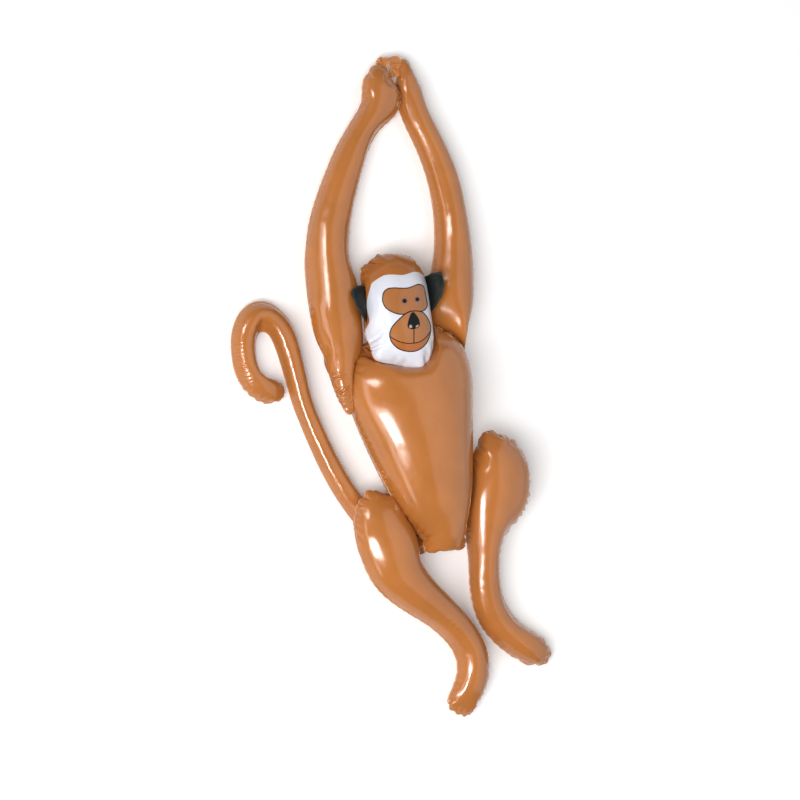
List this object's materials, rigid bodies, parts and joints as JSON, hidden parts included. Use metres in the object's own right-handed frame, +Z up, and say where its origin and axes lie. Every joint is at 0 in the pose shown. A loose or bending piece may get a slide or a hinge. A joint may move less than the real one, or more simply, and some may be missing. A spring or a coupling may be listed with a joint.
{
  "type": "inflatable monkey",
  "caption": "Inflatable hanging toy monkey lying on its back, with long arms joined at the hands above its head, a printed face, bent legs and a curled tail.",
  "frame": {"origin": "on the floor under the middle of the lying figure's box", "axes": "+Y from the feet to the joined hands, +Z up out of the face and belly, +X towards the monkey's own left side"},
  "size_m": [0.2298, 0.516, 0.07],
  "materials": {
    "vinyl": "glossy",
    "face_vinyl": "glossy, printed face",
    "ear_vinyl": "satin"
  },
  "bodies": {
    "root": {"torso": "vinyl", "head": "face_vinyl", "right_arm": "vinyl", "left_arm": "vinyl", "right_leg": "vinyl", "left_leg": "vinyl", "tail": "vinyl", "right_ear": "ear_vinyl", "left_ear": "ear_vinyl", "hanging_tab": "vinyl", "valve": "vinyl"}
  },
  "joints": []
}
